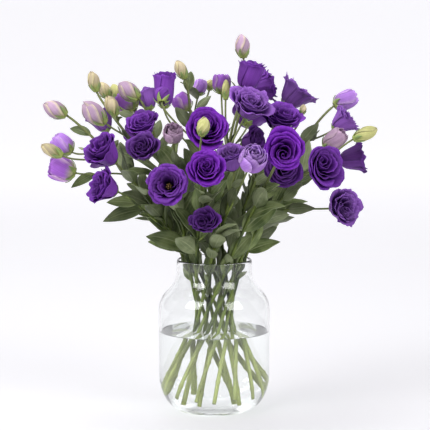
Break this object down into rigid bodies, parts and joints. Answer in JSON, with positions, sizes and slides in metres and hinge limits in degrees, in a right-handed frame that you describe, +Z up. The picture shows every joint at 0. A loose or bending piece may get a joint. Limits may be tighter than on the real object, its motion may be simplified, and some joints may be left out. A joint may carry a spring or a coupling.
{
  "type": "lisianthus bouquet in a glass vase",
  "caption": "Bouquet of violet lisianthus with layered open blooms, paler half-open blooms, twisted buds and leafy stems crossing in a spiral, in a clear round glass jar vase of water.",
  "frame": {"origin": "centre of the vase's round flat base, on the surface that it stands on", "axes": "+Z up the vase, -Y towards the front of the bouquet, +X to its right seen from the front"},
  "size_m": [0.449, 0.2886, 0.5094],
  "materials": {
    "glass": "gloss",
    "water": "gloss",
    "foliage": "satin",
    "petals_violet": "matte",
    "petals_mauve": "matte"
  },
  "bodies": {
    "root": {"glass_vase": "glass", "water": "water", "leafy_stem_01": "foliage", "leafy_stem_02": "foliage", "leafy_stem_03": "foliage", "leafy_stem_04": "foliage", "leafy_stem_05": "foliage", "leafy_stem_06": "foliage", "leafy_stem_07": "foliage", "leafy_stem_08": "foliage", "leafy_stem_09": "foliage", "leafy_stem_10": "foliage", "leafy_stem_11": "foliage", "leafy_stem_12": "foliage", "leafy_stem_13": "foliage", "leafy_stem_14": "foliage", "leafy_stem_15": "foliage", "leafy_stem_16": "foliage", "leafy_stem_17": "foliage", "bloom_01": "petals_violet", "bloom_02": "petals_violet", "bloom_03": "petals_violet", "bloom_04": "petals_mauve", "bloom_05": "petals_violet", "bloom_06": "petals_violet", "bloom_07": "petals_violet", "bloom_08": "petals_violet", "bloom_09": "petals_mauve", "bloom_10": "petals_violet", "bloom_11": "petals_mauve", "bloom_12": "petals_violet", "bloom_13": "petals_violet", "bloom_14": "petals_violet", "bloom_15": "petals_violet", "bloom_16": "petals_violet", "bloom_17": "petals_violet", "bloom_18": "petals_violet", "bloom_19": "petals_mauve", "bloom_20": "petals_mauve", "bloom_21": "petals_violet", "bloom_22": "petals_violet", "bloom_23": "petals_mauve", "bloom_24": "petals_violet", "bloom_25": "petals_mauve", "bloom_26": "petals_mauve", "bloom_27": "petals_violet", "bloom_28": "petals_violet", "bloom_29": "petals_violet", "bloom_30": "petals_mauve", "bloom_31": "petals_violet", "bloom_32": "petals_violet", "bloom_33": "petals_violet", "bloom_34": "petals_violet", "bloom_35": "petals_violet", "bloom_36": "petals_violet", "bloom_37": "petals_violet", "bloom_38": "petals_violet", "bloom_39": "petals_violet", "bloom_40": "petals_mauve"}
  },
  "joints": []
}
